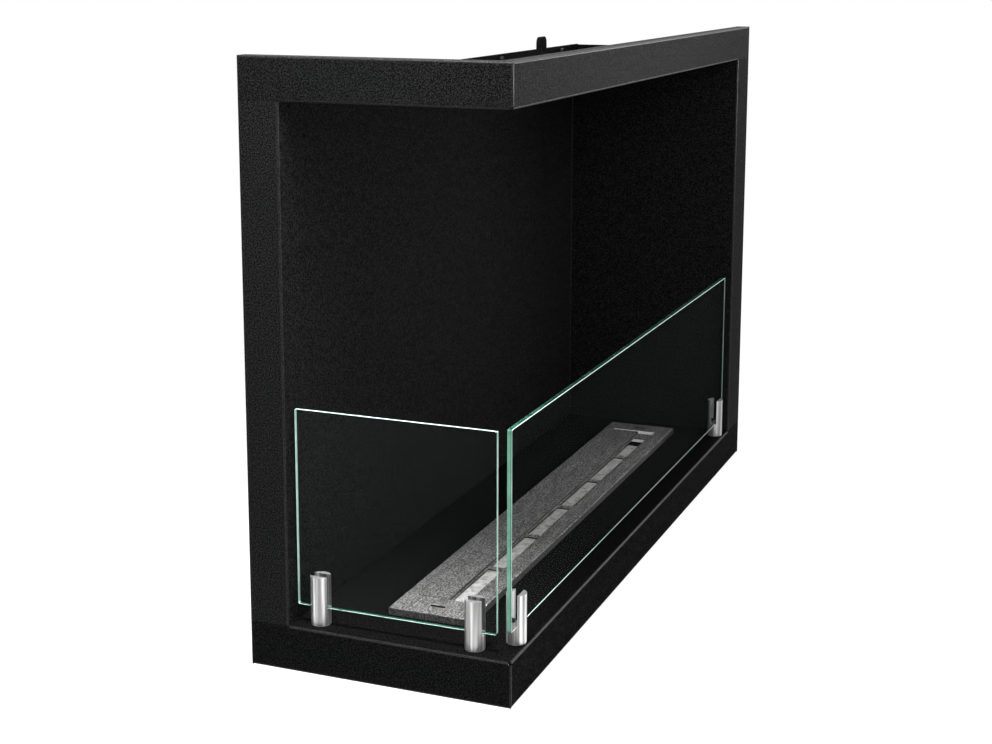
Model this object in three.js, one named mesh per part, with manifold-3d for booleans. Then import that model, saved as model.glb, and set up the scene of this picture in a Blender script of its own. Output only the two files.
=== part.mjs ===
// A bioethanol fireplace for a wall corner, open along its front and its left side.
// Folded steel casing, two low glass screens in slotted posts, and a lift-out burner with a shutter.
// Millimetres, +Z up. The origin is at the middle of the base: X runs along the long front,
// -Y is the front, and the open short side is at -X.
import * as THREE from 'three';
import { mergeVertices } from 'three/addons/utils/BufferGeometryUtils.js';
import Module from 'manifold-3d';

// --- Casing
const WIDTH = 900;
const DEPTH = 277;
const HEIGHT = 605;
const SHEET = 1.5;
const BEND_RADIUS = 2; // outer radius of the visible folds
const BEND_STEPS = 3;
const BOTTOM_BAR = 46; // height of the face below the opening
const TOP_BAR = 42.4;
const LEFT_JAMB = 42;
const RIGHT_JAMB = 60;
const LIP = 16.3; // returns at the rear of the face bars, and the hidden flanges
const CORNER_RELIEF = 3; // notch where the folds of the front and the side meet
const GAP = 0.3; // between neighbouring pieces

// --- Hangers on the back panel
const TAB_WIDTH = 36;
const TAB_RISE = 15.5;
const TAB_FROM_LEFT = 179.5; // from the casing's left face to the middle of the first tab
const TAB_FROM_RIGHT = 185.5;
const TAB_CORNER = 8;
const KEYHOLE_HEAD = 12;
const KEYHOLE_SLOT = 6;
const KEYHOLE_DROP = 5; // the head's centre, below the panel's edge
const KEYHOLE_REACH = 14; // from the head's centre to the middle of the slot's round end

// --- Casing bolts
const BACK_BOLTS = 4;
const BACK_BOLT_FROM_LEFT = 112.5; // from the casing's left face to the first bolt
const BACK_BOLT_FROM_RIGHT = 118.5;
const END_BOLTS = 2;
const END_BOLT_MARGIN = 60; // from the front face and from the back panel
const BOLT = 6;
const BOLT_LENGTH = 12;
const BOLT_ACROSS_FLATS = 10;
const BOLT_HEAD = 4;
const NUT_HEIGHT = 5;

// --- Glass and its posts
const GLASS_HEIGHT = 200;
const GLASS_THICKNESS = 5;
const GLASS_LIFT = 18.3; // from the floor to the lower edge
const GLASS_CORNER = 2;
const GLASS_ARRIS = 0.5;
const POST_DIAMETER = 20;
const POST_HEIGHT = 50.4;
const POST_CHAMFER = 0.8;
const POST_SLOT = 8.5;
const POST_FROM_FRONT = 13;
const POST_FROM_LEFT = 19;
const POST_FROM_GLASS_END = 23.5;
const FRONT_GLASS_START = 25; // from the left face of the casing
const FRONT_GLASS_CLEARANCE = 1.5; // to the end panel
const SIDE_GLASS_START = 20.5; // from the front face of the casing
const SIDE_GLASS_END = 45; // to the rear of the casing
const GRUB = 5;
const GRUB_RISE = 3.5; // axis above the bottom of the slot
const GRUB_SOCKET = 2.5;
const GRUB_RECESS = 1.2;
const POST_SCREW = 6;
const POST_SCREW_DEPTH = 12;
const POST_SCREW_HEAD = 11;
const POST_SCREW_HEAD_HEIGHT = 3.3;
const WASHER_DIAMETER = 14;
const WASHER = 1.2;

// --- Burner
const BURNER_SHEET = 1.2;
const BURNER_FROM_LEFT = 63;
const BURNER_FROM_END = 42;
const BURNER_FROM_FRONT = 67;
const BURNER_WIDTH = 89;
const COVER_HEIGHT = 8; // of the cover's rim, on the floor
const RECESS_FROM_FRONT = 18.7;
const RECESS_WIDTH = 56.8;
const RECESS_FROM_LEFT = 42;
const RECESS_FROM_RIGHT = 32;
const RECESS_DEPTH = 3.3;
const LIFTING_SLOT_LENGTH = 16;
const LIFTING_SLOT = 3;
const SHUTTER_WIDTH = 33.9;
const SHUTTER_HEIGHT = 2.4;
const WINDOW_FROM_LEFT = 2; // from the end of the recess
const WINDOW_FROM_RIGHT = 24;
const WINDOW_FROM_FRONT = 5;
const WINDOW_WIDTH = 16.5;
const STRAP = 9; // bridges between the windows
const WINDOWS = 6;
const LAST_WINDOW_CUT = 13.9; // the last window is this much shorter than the others
const TANK_INSET = 9;
const TANK_BELOW_FLOOR = 38;
const FLOOR_CUT_CLEARANCE = 2;
const TRAY_MARGIN = 3; // the tray reaches past the windows
const TRAY_DEPTH = 22;
const TRAY_SHEET = 1;
const TRAY_HOLE = 10;
const WICK_START = 8; // from the end of the first window
const FILL_OPENING = 32; // bare end of the last window, where fuel is poured in
const WICK_BASE_CLEARANCE = 1; // under the straps
const WICK_EDGE = 0.8; // around the raised blocks in the windows

// --- Round faces, and how the cuts are made
const ROUND_STEPS = 48;
const SCREW_STEPS = 12;
const PAST = 1; // a cutting tool runs this far past what it cuts
const WELD_DISTANCE = 1e-4;

// --- Planes of the casing
const LEFT = -WIDTH / 2;
const RIGHT = WIDTH / 2;
const FRONT = -DEPTH / 2;
const REAR = DEPTH / 2;
const FLOOR_TOP = BOTTOM_BAR;
const CEILING = HEIGHT - TOP_BAR;
const BACK_FACE = REAR - LEFT_JAMB; // visible face of the back panel
const END_FACE = RIGHT - RIGHT_JAMB; // visible face of the end panel
const PANEL_TOP = CEILING + LIP;

// --- Finishes
const powderCoat = new THREE.MeshStandardMaterial({ color: 0x1b1b1c, roughness: 0.6, metalness: 0.2 });
const brushedSteel = new THREE.MeshStandardMaterial({ color: 0xc9c8c4, roughness: 0.3, metalness: 1 });
const burnerSteel = new THREE.MeshStandardMaterial({ color: 0x77787a, roughness: 0.45, metalness: 1 });
const zincSteel = new THREE.MeshStandardMaterial({ color: 0x8d9093, roughness: 0.4, metalness: 1 });
const blackSteel = new THREE.MeshStandardMaterial({ color: 0x222224, roughness: 0.5, metalness: 0.6 });
const fibre = new THREE.MeshStandardMaterial({ color: 0xdcdad4, roughness: 0.95, metalness: 0 });
const clearGlass = new THREE.MeshStandardMaterial({
  color: 0xcfe8de,
  roughness: 0.05,
  metalness: 0,
  transparent: true,
  opacity: 0.35,
});

// --- Solids
const wasm = await Module();
wasm.setup();

function solid(geometry) {
  geometry.deleteAttribute('normal');
  geometry.deleteAttribute('uv');
  const merged = mergeVertices(geometry, WELD_DISTANCE);
  return new wasm.Manifold(new wasm.Mesh({
    numProp: 3,
    vertProperties: new Float32Array(merged.attributes.position.array),
    triVerts: new Uint32Array(merged.index.array),
  }));
}

function geometryOf(body) {
  const mesh = body.getMesh();
  const geometry = new THREE.BufferGeometry();
  geometry.setAttribute('position', new THREE.BufferAttribute(mesh.vertProperties, 3));
  geometry.setIndex(new THREE.BufferAttribute(mesh.triVerts, 1));
  geometry.computeVertexNormals();
  return geometry;
}

function join(...bodies) {
  return bodies.reduce((whole, body) => whole.add(body));
}

function cut(body, ...tools) {
  return tools.reduce((rest, tool) => rest.subtract(tool), body);
}

// The corners are given in any order, so a box may be measured upwards or downwards.
function box([xA, xB], [yA, yB], [zA, zB]) {
  const geometry = new THREE.BoxGeometry(Math.abs(xB - xA), Math.abs(yB - yA), Math.abs(zB - zA));
  return solid(geometry.translate((xA + xB) / 2, (yA + yB) / 2, (zA + zB) / 2));
}

// A cylinder from z = from to z = to at (x, y).
function rod(diameter, from, to, { x = 0, y = 0, steps = SCREW_STEPS } = {}) {
  const geometry = new THREE.CylinderGeometry(diameter / 2, diameter / 2, to - from, steps);
  geometry.rotateX(Math.PI / 2).translate(x, y, (from + to) / 2);
  return solid(geometry);
}

function hexPrism(acrossFlats, from, to) {
  return rod(acrossFlats / Math.cos(Math.PI / 6), from, to, { steps: 6 });
}

// Basis vectors that lay a section flat: its first axis, its second axis, and its extrusion.
const SECTION_YZ = new THREE.Matrix4().makeBasis(
  new THREE.Vector3(0, 1, 0), new THREE.Vector3(0, 0, 1), new THREE.Vector3(1, 0, 0));
const SECTION_XZ = new THREE.Matrix4().makeBasis(
  new THREE.Vector3(1, 0, 0), new THREE.Vector3(0, 0, 1), new THREE.Vector3(0, -1, 0));

function extrude(shape, length) {
  return new THREE.ExtrudeGeometry(shape, { depth: length, bevelEnabled: false, curveSegments: BEND_STEPS });
}

function alongX(shape, from, to) {
  return solid(extrude(shape, to - from).applyMatrix4(SECTION_YZ).translate(from, 0, 0));
}

function alongY(shape, from, to) {
  return solid(extrude(shape, to - from).applyMatrix4(SECTION_XZ).translate(0, to, 0));
}

function alongZ(shape, from, to) {
  return solid(extrude(shape, to - from).translate(0, 0, from));
}

// Section of a folded sheet. Its outer face follows the corners, with the sheet on the inside
// of every fold.
function foldedSection(corners) {
  const points = corners.map(([a, b]) => new THREE.Vector2(a, b));
  const runs = points.slice(1).map((point, i) => point.clone().sub(points[i]).normalize());
  const turn = Math.sign(runs[0].cross(runs[1]));
  const inward = runs.map((run) => new THREE.Vector2(-run.y * turn, run.x * turn));
  const outer = [points[0]];
  const inner = [points[0].clone().addScaledVector(inward[0], SHEET)];
  for (let i = 1; i < points.length - 1; i += 1) {
    const centre = points[i].clone()
      .addScaledVector(runs[i - 1], -BEND_RADIUS)
      .addScaledVector(inward[i - 1], BEND_RADIUS);
    for (let step = 0; step <= BEND_STEPS; step += 1) {
      const angle = (turn * step * Math.PI) / 2 / BEND_STEPS;
      const outward = inward[i - 1].clone().negate().rotateAround(new THREE.Vector2(), angle);
      outer.push(centre.clone().addScaledVector(outward, BEND_RADIUS));
      inner.push(centre.clone().addScaledVector(outward, BEND_RADIUS - SHEET));
    }
  }
  outer.push(points.at(-1));
  inner.push(points.at(-1).clone().addScaledVector(inward.at(-1), SHEET));
  return new THREE.Shape([...outer, ...inner.reverse()]);
}

// --- Rows of fasteners
function spread(count, first, last) {
  return Array.from({ length: count }, (_, i) => first + (i * (last - first)) / (count - 1));
}

const backBoltX = spread(BACK_BOLTS, LEFT + BACK_BOLT_FROM_LEFT, RIGHT - BACK_BOLT_FROM_RIGHT);
const endBoltY = spread(END_BOLTS, FRONT + END_BOLT_MARGIN, BACK_FACE - END_BOLT_MARGIN);
const tabX = [LEFT + TAB_FROM_LEFT, RIGHT - TAB_FROM_RIGHT];
const LOWER_BOLT_Z = FLOOR_TOP - LIP / 2;
const UPPER_BOLT_Z = CEILING + LIP / 2;

function holeAlongY(x, z, [from, to]) {
  const geometry = new THREE.CylinderGeometry(BOLT / 2 + GAP, BOLT / 2 + GAP, to - from, SCREW_STEPS);
  return solid(geometry.translate(x, (from + to) / 2, z));
}

function holeAlongX(y, z, [from, to]) {
  const geometry = new THREE.CylinderGeometry(BOLT / 2 + GAP, BOLT / 2 + GAP, to - from, SCREW_STEPS);
  return solid(geometry.rotateZ(Math.PI / 2).translate((from + to) / 2, y, z));
}

function backBoltHoles(z) {
  return backBoltX.map((x) => holeAlongY(x, z, [BACK_FACE - LIP / 2, BACK_FACE + LIP / 2]));
}

function endBoltHoles(z) {
  return endBoltY.map((y) => holeAlongX(y, z, [END_FACE - LIP / 2, END_FACE + LIP / 2]));
}

// --- Floor and ceiling
// Both are a plate whose front and left edges fold into a face bar with a return, and whose two
// hidden edges fold the same way into bolt flanges. The folds run away from the firebox, down
// for the floor (away = -1) and up for the ceiling (away = 1).
function foldedPlate(face, away, bar) {
  const level = (height) => face + away * height;
  const barEndX = RIGHT - SHEET - GAP;
  const barEndY = REAR - SHEET - GAP;
  const plateEndX = END_FACE - GAP;
  const plateEndY = BACK_FACE - GAP;
  const foldFrom = (edge) => [
    [edge + LIP, face], [edge, face], [edge, level(bar)], [edge + LIP, level(bar)],
  ];
  const allZ = [level(-SHEET), level(bar + SHEET)];

  const frontFold = alongX(foldedSection(foldFrom(FRONT)), LEFT + SHEET + GAP, barEndX);
  const sideFold = cut(
    alongY(foldedSection(foldFrom(LEFT)), FRONT, barEndY),
    box([LEFT + SHEET + GAP, LEFT + 2 * LIP], [FRONT - PAST, FRONT + BEND_RADIUS], allZ),
  );
  const flangeX = [LEFT + 2 * LIP, plateEndX - LIP];
  const flangeY = [FRONT + 2 * LIP, plateEndY - LIP];
  const plate = box([LEFT + BEND_RADIUS, plateEndX], [FRONT + BEND_RADIUS, plateEndY], [face, level(SHEET)]);
  const backFlange = box(flangeX, [plateEndY - SHEET, plateEndY], [face, level(LIP)]);
  const endFlange = box([plateEndX - SHEET, plateEndX], flangeY, [face, level(LIP)]);

  // Past the panels the bars lose their fold, and the jambs butt against their plain edges.
  const foldZ = [level(-PAST), level(BEND_RADIUS)];
  const pastEnd = box([plateEndX, RIGHT], [FRONT - PAST, FRONT + 2 * LIP], foldZ);
  const pastBack = box([LEFT - PAST, LEFT + 2 * LIP], [plateEndY, REAR], foldZ);
  const plainFront = box([plateEndX, barEndX], [FRONT, FRONT + SHEET], [face, level(LIP)]);
  const plainSide = box([LEFT, LEFT + SHEET], [plateEndY, barEndY], [face, level(LIP)]);
  const relief = box(
    [LEFT - PAST, LEFT + CORNER_RELIEF],
    [FRONT - PAST, FRONT + CORNER_RELIEF],
    [level(-PAST), level(CORNER_RELIEF)],
  );
  const bars = cut(join(frontFold, sideFold), pastEnd, pastBack);
  return cut(join(bars, plate, backFlange, endFlange, plainFront, plainSide), relief);
}

// --- Posts: where they stand, and the way their inner side faces
const FRONT_GLASS = { start: LEFT + FRONT_GLASS_START, end: END_FACE - FRONT_GLASS_CLEARANCE };
const SIDE_GLASS = { start: FRONT + SIDE_GLASS_START, end: REAR - SIDE_GLASS_END };
const frontRow = { y: FRONT + POST_FROM_FRONT, turn: 0 };
const sideRow = { x: LEFT + POST_FROM_LEFT, turn: -Math.PI / 2 };
const posts = [
  { name: 'front_left', ...frontRow, x: FRONT_GLASS.start + POST_FROM_GLASS_END },
  { name: 'front_right', ...frontRow, x: FRONT_GLASS.end - POST_FROM_GLASS_END },
  { name: 'side_front', ...sideRow, y: SIDE_GLASS.start + POST_FROM_GLASS_END },
  { name: 'side_rear', ...sideRow, y: SIDE_GLASS.end - POST_FROM_GLASS_END },
];

// --- Burner: its place, and its own planes with X and Y from its middle and Z from the floor
const BURNER_LENGTH = END_FACE - LEFT - BURNER_FROM_LEFT - BURNER_FROM_END;
const BURNER_X = LEFT + BURNER_FROM_LEFT + BURNER_LENGTH / 2;
const BURNER_Y = FRONT + BURNER_FROM_FRONT + BURNER_WIDTH / 2;
const COVER_X = [-BURNER_LENGTH / 2, BURNER_LENGTH / 2];
const COVER_Y = [-BURNER_WIDTH / 2, BURNER_WIDTH / 2];
const RECESS_X = [COVER_X[0] + RECESS_FROM_LEFT, COVER_X[1] - RECESS_FROM_RIGHT];
const RECESS_Y = [COVER_Y[0] + RECESS_FROM_FRONT, COVER_Y[0] + RECESS_FROM_FRONT + RECESS_WIDTH];
const RECESS_FLOOR = COVER_HEIGHT - RECESS_DEPTH;
const RECESS_UNDERSIDE = RECESS_FLOOR - BURNER_SHEET;
const WINDOW_X = [RECESS_X[0] + WINDOW_FROM_LEFT, RECESS_X[1] - WINDOW_FROM_RIGHT];
const WINDOW_Y = [RECESS_Y[0] + WINDOW_FROM_FRONT, RECESS_Y[0] + WINDOW_FROM_FRONT + WINDOW_WIDTH];
const TANK_X = [COVER_X[0] + TANK_INSET, COVER_X[1] - TANK_INSET];
const TANK_Y = [COVER_Y[0] + TANK_INSET, COVER_Y[1] - TANK_INSET];
const WICK_X = [WINDOW_X[0] + WICK_START, WINDOW_X[1] - FILL_OPENING];
const WINDOW_PITCH = (WINDOW_X[1] - WINDOW_X[0] + STRAP + LAST_WINDOW_CUT) / WINDOWS;

function grow([low, high], margin) {
  return [low - margin, high + margin];
}

// --- Casing pieces
function floorPanel() {
  const burnerOpening = box(
    grow(TANK_X, FLOOR_CUT_CLEARANCE).map((x) => x + BURNER_X),
    grow(TANK_Y, FLOOR_CUT_CLEARANCE).map((y) => y + BURNER_Y),
    [FLOOR_TOP - LIP, FLOOR_TOP + PAST],
  );
  const postHole = ({ x, y }) => rod(POST_SCREW + 2 * GAP, FLOOR_TOP - LIP, FLOOR_TOP + PAST, { x, y });
  return cut(
    foldedPlate(FLOOR_TOP, -1, BOTTOM_BAR),
    burnerOpening,
    ...posts.map(postHole),
    ...backBoltHoles(LOWER_BOLT_Z),
    ...endBoltHoles(LOWER_BOLT_Z),
  );
}

// The rear flange is open behind each keyhole, where the head of a wall screw goes.
function ceilingPanel() {
  return cut(
    foldedPlate(CEILING, 1, TOP_BAR),
    ...tabX.map(keyhole),
    ...backBoltHoles(UPPER_BOLT_Z),
    ...endBoltHoles(UPPER_BOLT_Z),
  );
}

// A tab with rounded shoulders on the top edge of the back panel.
function hangerTab(x) {
  const top = PANEL_TOP + TAB_RISE;
  const half = TAB_WIDTH / 2;
  const shape = new THREE.Shape();
  shape.moveTo(x - half, PANEL_TOP - PAST);
  shape.lineTo(x + half, PANEL_TOP - PAST);
  shape.lineTo(x + half, top - TAB_CORNER);
  shape.absarc(x + half - TAB_CORNER, top - TAB_CORNER, TAB_CORNER, 0, Math.PI / 2);
  shape.absarc(x - half + TAB_CORNER, top - TAB_CORNER, TAB_CORNER, Math.PI / 2, Math.PI);
  return alongY(shape, BACK_FACE, BACK_FACE + SHEET);
}

function keyhole(x) {
  const z = PANEL_TOP - KEYHOLE_DROP;
  const through = [BACK_FACE - LIP / 2, BACK_FACE + SHEET + PAST];
  const round = (diameter, height) => {
    const shape = new THREE.Shape();
    shape.absarc(x, z + height, diameter / 2, 0, 2 * Math.PI);
    const geometry = new THREE.ExtrudeGeometry(shape, {
      depth: through[1] - through[0],
      bevelEnabled: false,
      curveSegments: SCREW_STEPS,
    });
    return solid(geometry.applyMatrix4(SECTION_XZ).translate(0, through[1], 0));
  };
  const slot = box([x - KEYHOLE_SLOT / 2, x + KEYHOLE_SLOT / 2], through, [z, z + KEYHOLE_REACH]);
  return join(round(KEYHOLE_HEAD, 0), slot, round(KEYHOLE_SLOT, KEYHOLE_REACH));
}

function backPanel() {
  const section = foldedSection([
    [LEFT + LIP, REAR], [LEFT, REAR], [LEFT, BACK_FACE], [LEFT + 2 * LIP, BACK_FACE],
  ]);
  const jamb = alongZ(section, FLOOR_TOP + GAP, CEILING - GAP);
  const panel = box([LEFT + BEND_RADIUS, END_FACE + LIP], [BACK_FACE, BACK_FACE + SHEET], [0, PANEL_TOP]);
  const rearReturn = box([LEFT, LEFT + LIP], [REAR - SHEET, REAR], [0, HEIGHT]);
  const overFloorLip = box(
    [LEFT, LEFT + LIP + GAP], [BACK_FACE - PAST, BACK_FACE + LIP], [-PAST, SHEET + GAP]);
  return cut(
    join(jamb, cut(panel, overFloorLip), rearReturn, ...tabX.map(hangerTab)),
    ...tabX.map(keyhole),
    ...backBoltHoles(LOWER_BOLT_Z),
    ...backBoltHoles(UPPER_BOLT_Z),
  );
}

function endPanel() {
  const section = foldedSection([
    [RIGHT, FRONT + LIP], [RIGHT, FRONT], [END_FACE, FRONT], [END_FACE, FRONT + 2 * LIP],
  ]);
  const jamb = alongZ(section, FLOOR_TOP + GAP, CEILING - GAP);
  const rearEdge = BACK_FACE - GAP;
  const panel = box([END_FACE, END_FACE + SHEET], [FRONT + BEND_RADIUS, rearEdge], [0, PANEL_TOP]);
  const rearFlange = box([END_FACE, END_FACE + LIP], [rearEdge - SHEET, rearEdge], [0, PANEL_TOP]);
  const sideReturn = box([RIGHT - SHEET, RIGHT], [FRONT, FRONT + LIP], [0, HEIGHT]);
  const overFloorLip = box(
    [END_FACE - PAST, END_FACE + LIP], [FRONT, FRONT + LIP + GAP], [-PAST, SHEET + GAP]);
  return cut(
    join(jamb, cut(panel, overFloorLip), rearFlange, sideReturn),
    ...endBoltHoles(LOWER_BOLT_Z),
    ...endBoltHoles(UPPER_BOLT_Z),
  );
}

// --- Fasteners, each with its axis along +Z and the underside of its head at z = 0
function hexBolt() {
  return join(hexPrism(BOLT_ACROSS_FLATS, -BOLT_HEAD, 0), rod(BOLT, -PAST, BOLT_LENGTH));
}

function hexNut() {
  return cut(hexPrism(BOLT_ACROSS_FLATS, 0, NUT_HEIGHT), rod(BOLT + 2 * GAP, -PAST, NUT_HEIGHT + PAST));
}

function postScrew() {
  const stack = WASHER + SHEET + 3 * GAP;
  const socket = hexPrism(POST_SCREW / 2, -POST_SCREW_HEAD_HEIGHT - PAST, -POST_SCREW_HEAD_HEIGHT / 2);
  const head = rod(POST_SCREW_HEAD, -POST_SCREW_HEAD_HEIGHT, 0, { steps: 2 * SCREW_STEPS });
  return join(cut(head, socket), rod(POST_SCREW, -PAST, stack + POST_SCREW_DEPTH - GAP));
}

function washer() {
  const hole = rod(POST_SCREW + 2 * GAP, -PAST, WASHER + PAST);
  return cut(rod(WASHER_DIAMETER, 0, WASHER, { steps: 2 * SCREW_STEPS }), hole);
}

// The grub screw's tip is at z = 0, towards the glass.
const GRUB_LENGTH = POST_DIAMETER / 2 - GRUB_RECESS - (GLASS_THICKNESS - POST_SLOT / 2 + 2 * GAP);

function grubScrew() {
  return cut(rod(GRUB, 0, GRUB_LENGTH), hexPrism(GRUB_SOCKET, GRUB_LENGTH / 2, GRUB_LENGTH + PAST));
}

// --- Post, standing at the origin, with the glass along X and the firebox on its +Y side
const SLOT_FLOOR = GLASS_LIFT - GAP; // above the casing's floor
const GRUB_AXIS = SLOT_FLOOR + GRUB_RISE;

function post() {
  const radius = POST_DIAMETER / 2;
  const profile = [
    [0, GAP], [radius, GAP], [radius, POST_HEIGHT - POST_CHAMFER],
    [radius - POST_CHAMFER, POST_HEIGHT], [0, POST_HEIGHT],
  ].map(([r, z]) => new THREE.Vector2(r, z));
  const turned = solid(new THREE.LatheGeometry(profile, ROUND_STEPS).rotateX(Math.PI / 2));
  const slotZ = [SLOT_FLOOR, POST_HEIGHT + PAST];
  const slot = box([-radius - PAST, radius + PAST], [-POST_SLOT / 2, POST_SLOT / 2], slotZ);
  const thread = new THREE.CylinderGeometry(GRUB / 2 + GAP, GRUB / 2 + GAP, radius + PAST, SCREW_STEPS);
  const grubHole = solid(thread.translate(0, (radius + PAST) / 2, GRUB_AXIS));
  return cut(turned, slot, grubHole, rod(POST_SCREW + 2 * GAP, GAP - PAST, GAP + POST_SCREW_DEPTH));
}

// --- Glass pane, centred on the origin, with its length along X and its thickness along Y
function glassPane(length) {
  const halfLength = length / 2 - GLASS_ARRIS;
  const halfHeight = GLASS_HEIGHT / 2 - GLASS_ARRIS;
  const corner = GLASS_CORNER;
  const shape = new THREE.Shape();
  shape.absarc(halfLength - corner, halfHeight - corner, corner, 0, Math.PI / 2);
  shape.absarc(-halfLength + corner, halfHeight - corner, corner, Math.PI / 2, Math.PI);
  shape.absarc(-halfLength + corner, -halfHeight + corner, corner, Math.PI, 1.5 * Math.PI);
  shape.absarc(halfLength - corner, -halfHeight + corner, corner, 1.5 * Math.PI, 2 * Math.PI);
  const geometry = new THREE.ExtrudeGeometry(shape, {
    depth: GLASS_THICKNESS - 2 * GLASS_ARRIS,
    bevelSize: GLASS_ARRIS,
    bevelThickness: GLASS_ARRIS,
    bevelSegments: 1,
    curveSegments: BEND_STEPS,
  });
  geometry.translate(0, 0, -GLASS_THICKNESS / 2 + GLASS_ARRIS);
  return solid(geometry.applyMatrix4(SECTION_XZ));
}

// --- Burner pieces
const windows = Array.from({ length: WINDOWS }, (_, i) => {
  const start = WINDOW_X[0] + i * WINDOW_PITCH;
  return [start, Math.min(start + WINDOW_PITCH - STRAP, WINDOW_X[1])];
});

function liftingSlot(x) {
  return box([x - LIFTING_SLOT / 2, x + LIFTING_SLOT / 2],
    [-LIFTING_SLOT_LENGTH / 2, LIFTING_SLOT_LENGTH / 2], [RECESS_FLOOR, COVER_HEIGHT + PAST]);
}

function burnerCover() {
  const lid = cut(
    box(COVER_X, COVER_Y, [GAP, COVER_HEIGHT]),
    box(grow(COVER_X, -BURNER_SHEET), grow(COVER_Y, -BURNER_SHEET), [-PAST, COVER_HEIGHT - BURNER_SHEET]),
  );
  const panZ = [RECESS_UNDERSIDE, COVER_HEIGHT];
  const pan = box(grow(RECESS_X, BURNER_SHEET), grow(RECESS_Y, BURNER_SHEET), panZ);
  return cut(
    join(lid, pan),
    box(RECESS_X, RECESS_Y, [RECESS_FLOOR, COVER_HEIGHT + PAST]),
    liftingSlot((COVER_X[0] + RECESS_X[0]) / 2),
    liftingSlot((COVER_X[1] + RECESS_X[1]) / 2),
    ...windows.map((x) => box(x, WINDOW_Y, [RECESS_UNDERSIDE - PAST, RECESS_FLOOR + PAST])),
  );
}

function burnerTank() {
  const top = COVER_HEIGHT - BURNER_SHEET - GAP;
  const bottom = -TANK_BELOW_FLOOR;
  return cut(
    box(TANK_X, TANK_Y, [bottom, top]),
    box(grow(TANK_X, -BURNER_SHEET), grow(TANK_Y, -BURNER_SHEET), [bottom + BURNER_SHEET, top + PAST]),
  );
}

const TRAY_TOP = RECESS_UNDERSIDE - GAP;
const TRAY_BOTTOM = TRAY_TOP - TRAY_DEPTH;
const TRAY_X = grow(WICK_X, TRAY_SHEET + GAP);
const TRAY_Y = grow(WINDOW_Y, TRAY_MARGIN);

function wickTray() {
  const y = (TRAY_Y[0] + TRAY_Y[1]) / 2;
  const holes = windows.slice(0, -1).map(([, end]) => {
    const x = end + STRAP / 2;
    return rod(TRAY_HOLE, TRAY_BOTTOM - PAST, TRAY_BOTTOM + TRAY_SHEET + PAST, { x, y });
  });
  return cut(
    box(TRAY_X, TRAY_Y, [TRAY_BOTTOM, TRAY_TOP]),
    box(grow(TRAY_X, -TRAY_SHEET), grow(TRAY_Y, -TRAY_SHEET), [TRAY_BOTTOM + TRAY_SHEET, TRAY_TOP + PAST]),
    ...holes,
  );
}

// The fibre fills the tray and stands up into the windows.
function fibreWick() {
  const inTray = grow(TRAY_Y, -TRAY_SHEET - GAP);
  const base = box(WICK_X, inTray, [TRAY_BOTTOM + TRAY_SHEET + GAP, TRAY_TOP - WICK_BASE_CLEARANCE]);
  const blocks = windows.map(([start, end]) => box(
    [Math.max(start + WICK_EDGE, WICK_X[0]), Math.min(end - WICK_EDGE, WICK_X[1])],
    grow(WINDOW_Y, -WICK_EDGE),
    [TRAY_BOTTOM + TRAY_SHEET + GAP, RECESS_FLOOR - GAP],
  ));
  return join(base, ...blocks);
}

// Shown open, at the back of the recess. It slides over the windows towards -Y.
function burnerShutter() {
  const shutterX = grow(RECESS_X, -GAP);
  const back = RECESS_Y[1] - GAP;
  const shutterY = [back - SHUTTER_WIDTH, back];
  const underside = RECESS_FLOOR + GAP;
  const top = underside + SHUTTER_HEIGHT;
  return cut(
    box(shutterX, shutterY, [underside, top]),
    box(grow(shutterX, PAST), grow(shutterY, -BURNER_SHEET), [underside - PAST, top - BURNER_SHEET]),
  );
}

// --- The object
const fireplace = new THREE.Group();

function place(parent, name, body, material, { at = [0, 0, 0], turn = [0, 0, 0] } = {}) {
  const mesh = new THREE.Mesh(geometryOf(body), material);
  mesh.name = name;
  mesh.position.set(...at);
  mesh.rotation.set(...turn);
  parent.add(mesh);
}

place(fireplace, 'floor_panel', floorPanel(), powderCoat);
place(fireplace, 'ceiling_panel', ceilingPanel(), powderCoat);
place(fireplace, 'back_panel', backPanel(), powderCoat);
place(fireplace, 'end_panel', endPanel(), powderCoat);

const ALONG_Y = [-Math.PI / 2, 0, 0];
const ALONG_X = [0, Math.PI / 2, 0];
for (const [row, z] of [['lower', LOWER_BOLT_Z], ['upper', UPPER_BOLT_Z]]) {
  backBoltX.forEach((x, i) => {
    const headSeat = BACK_FACE - GAP - SHEET - GAP;
    const nutSeat = BACK_FACE + SHEET + GAP;
    const name = (part) => `${row}_back_${part}_${i + 1}`;
    place(fireplace, name('bolt'), hexBolt(), blackSteel, { at: [x, headSeat, z], turn: ALONG_Y });
    place(fireplace, name('nut'), hexNut(), zincSteel, { at: [x, nutSeat, z], turn: ALONG_Y });
  });
  endBoltY.forEach((y, i) => {
    const headSeat = END_FACE - GAP - SHEET - GAP;
    const nutSeat = END_FACE + SHEET + GAP;
    const name = (part) => `${row}_end_${part}_${i + 1}`;
    place(fireplace, name('bolt'), hexBolt(), blackSteel, { at: [headSeat, y, z], turn: ALONG_X });
    place(fireplace, name('nut'), hexNut(), zincSteel, { at: [nutSeat, y, z], turn: ALONG_X });
  });
}

for (const { name, x, y, turn } of posts) {
  const station = new THREE.Group();
  station.position.set(x, y, FLOOR_TOP);
  station.rotation.z = turn;
  fireplace.add(station);
  const grubTip = GLASS_THICKNESS - POST_SLOT / 2 + 2 * GAP;
  const washerTop = -SHEET - GAP;
  place(station, `${name}_post`, post(), brushedSteel);
  const grubPlace = { at: [0, grubTip, GRUB_AXIS], turn: ALONG_Y };
  place(station, `${name}_grub_screw`, grubScrew(), zincSteel, grubPlace);
  place(station, `${name}_washer`, washer(), zincSteel, { at: [0, 0, washerTop - WASHER] });
  place(station, `${name}_post_screw`, postScrew(), zincSteel, { at: [0, 0, washerTop - WASHER - GAP] });
}

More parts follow.
